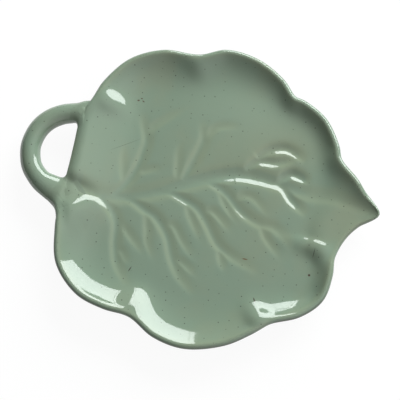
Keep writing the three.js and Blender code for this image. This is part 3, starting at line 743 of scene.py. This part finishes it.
# How thick the coil is, and how far it sinks at its edges and where rod and leaf lie side by side
coil_depth = 0.001
coil_edge_sink = 0.00012
flush_sink = 0.0003
# The walk to the coil's edge on the leaf, and the pressing of its points, with limits that keep both steady
reach_margin = 1.05
walk_passes = 60
walk_step = 0.0004
press_passes = 12
press_rate = 0.8
most_likeness = 0.998
least_slope = 0.2
least_half = 1e-5
handle_tangent, handle_aside, handle_above = rod_axes(handle_way)
leaf_base_end = leaf_low.x + leaf_base_length
leaf_base = [tuple(face.vertices) for face in leaf.data.polygons if face.center.x < leaf_base_end]
leaf_skin = BVHTree.FromPolygons([vertex.co for vertex in leaf.data.vertices], leaf_base)


def rod_distance(place):
    """About the distance from the rod's skin, less than 0 inside, and the way out of it."""
    nearest = ((place[:, None, :] - handle_line[None]) ** 2).sum(axis=2).argmin(axis=1)
    away = place - handle_line[nearest]
    tangent, aside, above = handle_tangent[nearest], handle_aside[nearest], handle_above[nearest]
    wide, high = rod_half_width[nearest] + least_half, rod_half_height[nearest] + least_half
    u = (away * aside).sum(axis=1)
    v = (away * above).sum(axis=1)
    beyond = (away * tangent).sum(axis=1)
    size = np.sqrt((u / wide) ** 2 + (v / high) ** 2 + (beyond / wide) ** 2) + tiny
    slope = (u / wide**2)[:, None] * aside + (v / high**2)[:, None] * above
    slope += (beyond / wide**2)[:, None] * tangent
    steep = np.linalg.norm(slope, axis=1) + tiny
    return size * (size - 1) / steep, slope / steep[:, None]


def leaf_distance(place):
    """Distance from the leaf's skin, less than 0 inside, and the way out of it."""
    touching = 1e-6
    distance = np.empty(len(place))
    gradient = np.empty((len(place), 3))
    for k, point in enumerate(place):
        near, face_normal, _, away = leaf_skin.find_nearest(Vector(point))
        step = Vector(point) - near
        side = 1 if step.dot(face_normal) >= 0 else -1
        distance[k] = side * away
        gradient[k] = side * step / away if away > touching else face_normal
    return distance, gradient


def blend_reach(place, joint, outer_side, inner_reach, outer_reach):
    """How far the blend reaches: less at the loop's opening than outside it."""
    outside = np.clip(0.5 + outer_side * (place[:, 1] - joint[1]) / opening_width, 0, 1)
    return inner_reach + (outer_reach - inner_reach) * outside


def rod_lines(step, seam):
    """Where lines along the rod's skin first come near the leaf, and where they meet it."""
    near_points, meeting_points = [], []
    for angle in np.linspace(0, 2 * np.pi, coil_sides, endpoint=False):
        line = handle_line + np.cos(angle) * rod_half_width[:, None] * handle_aside
        line = line + np.sin(angle) * rod_half_height[:, None] * handle_above
        line = line[::step][handle_steps // 2:]
        clear = leaf_distance(line)[0]
        near = clear < reach_margin * blend_reach(line, *seam)
        met = clear < 0
        near_points.append(line[np.argmax(near) if near.any() else np.argmin(clear)])
        meeting_points.append(line[np.argmax(met) if met.any() else np.argmin(clear)])
    return np.array(near_points), np.array(meeting_points)


def leaf_line(place, seam):
    """From the meeting line, walk over the leaf's skin until the rod is far enough."""
    for _ in range(walk_passes):
        rod, rod_way = rod_distance(place)
        skin, skin_way = leaf_distance(place)
        over = rod_way - (rod_way * skin_way).sum(axis=1, keepdims=True) * skin_way
        over /= np.maximum(least_slope, np.linalg.norm(over, axis=1, keepdims=True))
        short = np.clip(reach_margin * blend_reach(place, *seam) - rod, -walk_step, walk_step)
        place = place + short[:, None] * over - skin[:, None] * skin_way
    return place


def press(place, sink, seam):
    """Move points on to the blended skin of rod and leaf, less a depth."""
    for _ in range(press_passes):
        rod, rod_way = rod_distance(place)
        skin, skin_way = leaf_distance(place)
        likeness = np.clip((rod_way * skin_way).sum(axis=1), 0, most_likeness)
        blend = blend_reach(place, *seam) * np.sqrt(1 - likeness**2)
        share = np.clip(0.5 + 0.5 * (skin - rod) / blend, 0, 1)[:, None]
        merged = np.minimum(rod, skin) - np.maximum(0, 1 - abs(rod - skin) / blend) ** 2 * blend / 4
        way = share * rod_way + (1 - share) * skin_way
        square = np.maximum(least_slope, (way**2).sum(axis=1))
        place = place - press_rate * ((merged + sink + flush_sink * likeness**4) / square)[:, None] * way
    return place


# Each coil: the step along the rod towards it, and its seam, which is the joint, the side that faces
# out of the loop, and the blend's reach inside and outside the loop
for name, step, seam in (
    ("upper_luting_coil", -1, (upper_joint, 1, 0.007, 0.010)),
    ("lower_luting_coil", 1, (lower_joint, -1, 0.004, 0.011)),
):
    rod_edge, meeting = rod_lines(step, seam)
    leaf_edge = leaf_line(meeting, seam)
    bpy.ops.mesh.primitive_torus_add(
        major_segments=coil_sides, minor_segments=coil_faces, major_radius=1, minor_radius=0.3
    )
    coil = bpy.context.object
    coil.name = name
    ring = points_of(coil)
    around = np.rint(np.arctan2(ring[:, 1], ring[:, 0]) / (2 * np.pi) * coil_sides).astype(int) % coil_sides
    out = np.hypot(ring[:, 0], ring[:, 1]) - 1
    section = np.rint(np.arctan2(ring[:, 2], out) / (2 * np.pi) * coil_faces).astype(int) % coil_faces
    half = coil_faces // 2
    share = np.where(section <= half, section / half, (coil_faces - section) / half)[:, None]
    shaped = (1 - share) ** 2 * rod_edge[around] + 2 * share * (1 - share) * meeting[around]
    shaped = shaped + share**2 * leaf_edge[around]
    from_crown = np.abs(2 * share[:, 0] - 1)
    sink = coil_edge_sink * from_crown**6
    sink = np.where(section > half, coil_depth * (1 - from_crown**2) + sink, sink)
    move_points(coil, press(shaped, sink, seam))
    bpy.ops.object.shade_smooth_by_angle(angle=crease_angle)
    coil.data.materials.append(glaze)
    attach(coil, "root")
    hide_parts(name)

# The foot ring: an oval hoop of the body clay under the floor, left bare where it stands.
# A torus, drawn out to the oval, with its foot pressed flat.
foot_low, foot_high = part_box("foot_ring")
foot_band = 0.00325
foot_tuck = 0.001
foot_middle = 0.55
foot_stretch = 0.75
foot_squareness = 0.6
hoop_radius = 0.3
bpy.ops.mesh.primitive_torus_add(
    major_segments=160, minor_segments=32, major_radius=1, minor_radius=hoop_radius
)
foot = bpy.context.object
foot.name = "foot_ring_hoop"
ring = points_of(foot)
around = np.arctan2(ring[:, 1], ring[:, 0])
out = (np.hypot(ring[:, 0], ring[:, 1]) - 1) / hoop_radius
up = ring[:, 2] / hoop_radius
height = np.clip(leaf_low.z * (foot_middle + foot_stretch * up), 0, leaf_low.z + foot_tuck)
bulge = foot_band * np.sign(out) * np.abs(out) ** foot_squareness
half_x = (foot_high.x - foot_low.x) / 2 - foot_band
half_y = (foot_high.y - foot_low.y) / 2 - foot_band
move_points(foot, np.stack([
    (foot_high.x + foot_low.x) / 2 + (half_x + bulge) * np.cos(around),
    (foot_high.y + foot_low.y) / 2 + (half_y + bulge) * np.sin(around),
    height,
], axis=1))
bpy.ops.object.shade_smooth_by_angle(angle=math.radians(40))
clay = bpy.data.materials.new("bare_clay")
clay.use_nodes = True
clay_shader = clay.node_tree.nodes["Principled BSDF"]
clay_shader.inputs["Base Color"].default_value = (0.46, 0.37, 0.26, 1)
clay_shader.inputs["Roughness"].default_value = 0.85
foot.data.materials.append(clay)
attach(foot, "root")
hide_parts("foot_ring")

# The stage: a plain table top, grey to the light so that it keeps a faint shadow.
# To the eye and in reflections a large share of it glows white.
white_share = 0.78
white_strength = 1.19
bpy.ops.mesh.primitive_circle_add(vertices=96, radius=6, fill_type="NGON")
table = bpy.context.object
table.name = "table"
paper = bpy.data.materials.new("white_paper")
paper.use_nodes = True
paper_nodes, paper_links = paper.node_tree.nodes, paper.node_tree.links
paper_shader = paper_nodes["Principled BSDF"]
paper_shader.inputs["Base Color"].default_value = (0.4, 0.4, 0.4, 1)
paper_shader.inputs["Roughness"].default_value = 1
paper_shader.inputs["Specular IOR Level"].default_value = 0
rays = paper_nodes.new("ShaderNodeLightPath")
seen = rays.outputs["Is Camera Ray"]
for kind in ("Is Glossy Ray", "Is Transmission Ray"):
    either = paper_nodes.new("ShaderNodeMath")
    either.operation = "MAXIMUM"
    paper_links.new(seen, either.inputs[0])
    paper_links.new(rays.outputs[kind], either.inputs[1])
    seen = either.outputs[0]
glowing = paper_nodes.new("ShaderNodeMath")
glowing.operation = "MULTIPLY"
glowing.inputs[1].default_value = white_share
paper_links.new(seen, glowing.inputs[0])
white = paper_nodes.new("ShaderNodeEmission")
white.inputs["Strength"].default_value = white_strength
mix = paper_nodes.new("ShaderNodeMixShader")
paper_links.new(glowing.outputs[0], mix.inputs[0])
paper_links.new(paper_shader.outputs[0], mix.inputs[1])
paper_links.new(white.outputs[0], mix.inputs[2])
paper_links.new(mix.outputs[0], paper_nodes["Material Output"].inputs["Surface"])
table.data.materials.append(paper)

# The window: two panes at the back right, one wide and one narrow, as left and right ends across the
# window and bottom and top heights. Its power is in watts for each square metre.
window_way = math.radians(63)
window_distance = 1.5
window_power = 26.5
window_back = Vector((math.cos(window_way), math.sin(window_way), 0))
for left, right, bottom, top in ((-0.80, 0.80, 0.37, 1.5), (-0.94, -0.815, 0.45, 1.45)):
    across = (left + right) / 2
    bpy.ops.object.light_add(type="AREA", location=(
        window_distance * math.cos(window_way) + across * math.sin(window_way),
        window_distance * math.sin(window_way) - across * math.cos(window_way),
        (bottom + top) / 2,
    ))
    pane = bpy.context.object
    pane.name = "window_pane"
    pane.rotation_euler = window_back.to_track_quat("Z", "Y").to_euler()
    pane.data.shape = "RECTANGLE"
    pane.data.size = right - left
    pane.data.size_y = top - bottom
    pane.data.energy = window_power * (right - left) * (top - bottom)
    pane.data.color = (0.94, 1, 0.98)

# The room: soft white light from overhead and from three sides. Each patch of it has an azimuth and
# an elevation in degrees, a narrowness and a strength.
room = bpy.data.worlds.new("soft_room")
scene.world = room
room.use_nodes = True
room_nodes, room_links = room.node_tree.nodes, room.node_tree.links
direction = room_nodes.new("ShaderNodeTexCoord").outputs["Generated"]
room_light = None
for azimuth, elevation, narrowness, strength in (
    (0, 90, 3, 0.22), (0, 55, 8, 0.68), (300, 20, 7, 1.0), (120, 18, 8, 0.27),
):
    azimuth, elevation = math.radians(azimuth), math.radians(elevation)
    lean = room_nodes.new("ShaderNodeVectorMath")
    lean.operation = "DOT_PRODUCT"
    lean.inputs[1].default_value = (
        math.cos(azimuth) * math.cos(elevation),
        math.sin(azimuth) * math.cos(elevation),
        math.sin(elevation),
    )
    room_links.new(direction, lean.inputs[0])
    fall = room_nodes.new("ShaderNodeMath")
    fall.operation = "MULTIPLY_ADD"
    room_links.new(lean.outputs["Value"], fall.inputs[0])
    fall.inputs[1].default_value = narrowness
    fall.inputs[2].default_value = math.log(strength) - narrowness
    glow = room_nodes.new("ShaderNodeMath")
    glow.operation = "EXPONENT"
    room_links.new(fall.outputs[0], glow.inputs[0])
    if room_light is None:
        room_light = glow.outputs[0]
    else:
        both = room_nodes.new("ShaderNodeMath")
        room_links.new(room_light, both.inputs[0])
        room_links.new(glow.outputs[0], both.inputs[1])
        room_light = both.outputs[0]
room_nodes["Background"].inputs["Color"].default_value = (1, 1, 1, 1)
room_links.new(room_light, room_nodes["Background"].inputs["Strength"])
